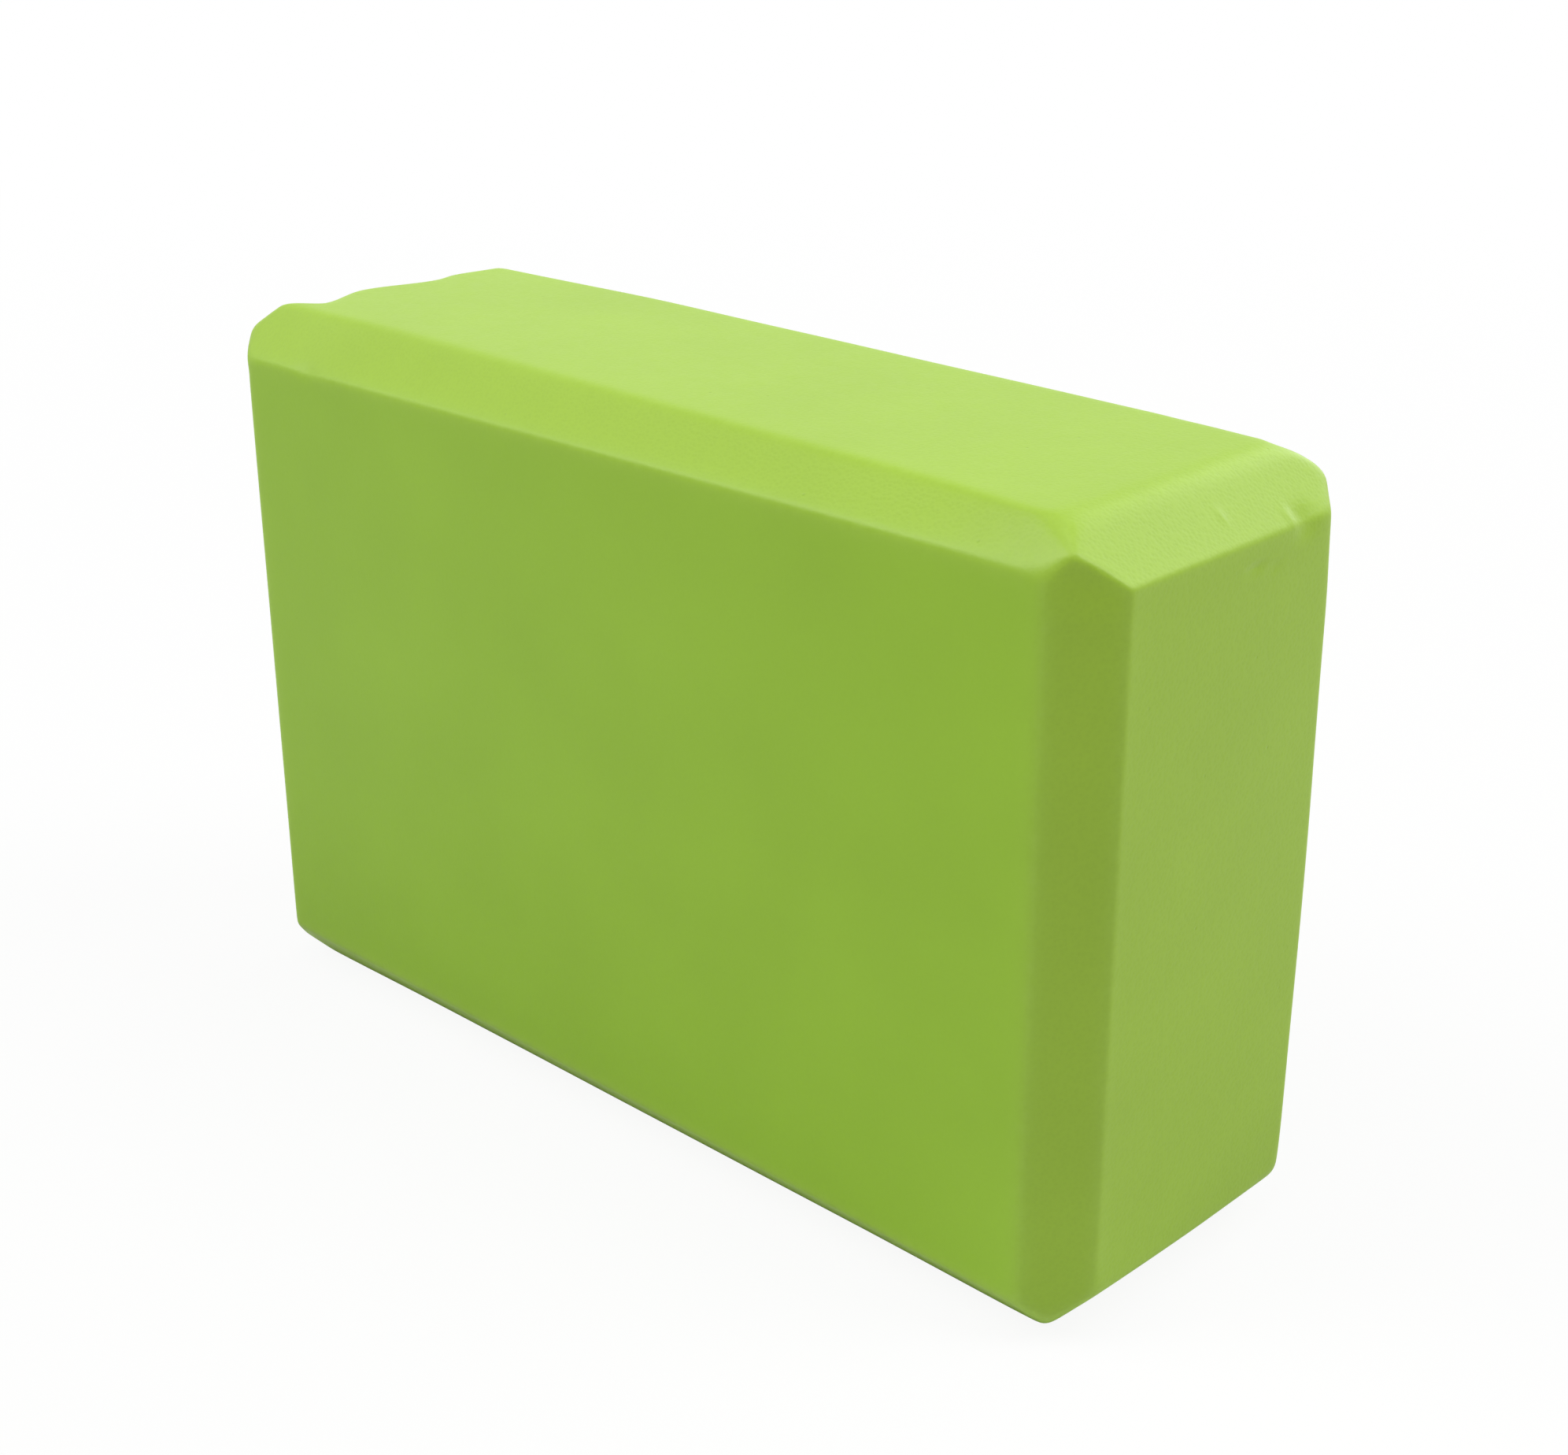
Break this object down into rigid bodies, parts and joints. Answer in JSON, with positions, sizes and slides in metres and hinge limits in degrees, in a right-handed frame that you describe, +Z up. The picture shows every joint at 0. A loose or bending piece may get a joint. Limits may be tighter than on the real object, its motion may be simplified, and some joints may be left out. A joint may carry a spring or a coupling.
{
  "type": "yoga block",
  "caption": "Firm foam yoga block laminated from closed-cell sheets, with broad flat faces to rest on and every edge bevelled for an easy grip.",
  "frame": {"origin": "centre of the long narrow side that the block stands on", "axes": "+X along the block's length, +Y through the stack of sheets from the front face to the back face, +Z up"},
  "size_m": [0.2286, 0.0762, 0.1524],
  "materials": {
    "foam": "matte",
    "adhesive": "satin"
  },
  "bodies": {
    "root": {"front_sheet": "foam", "front_glue": "adhesive", "core_sheet": "foam", "back_glue": "adhesive", "back_sheet": "foam"}
  },
  "joints": []
}
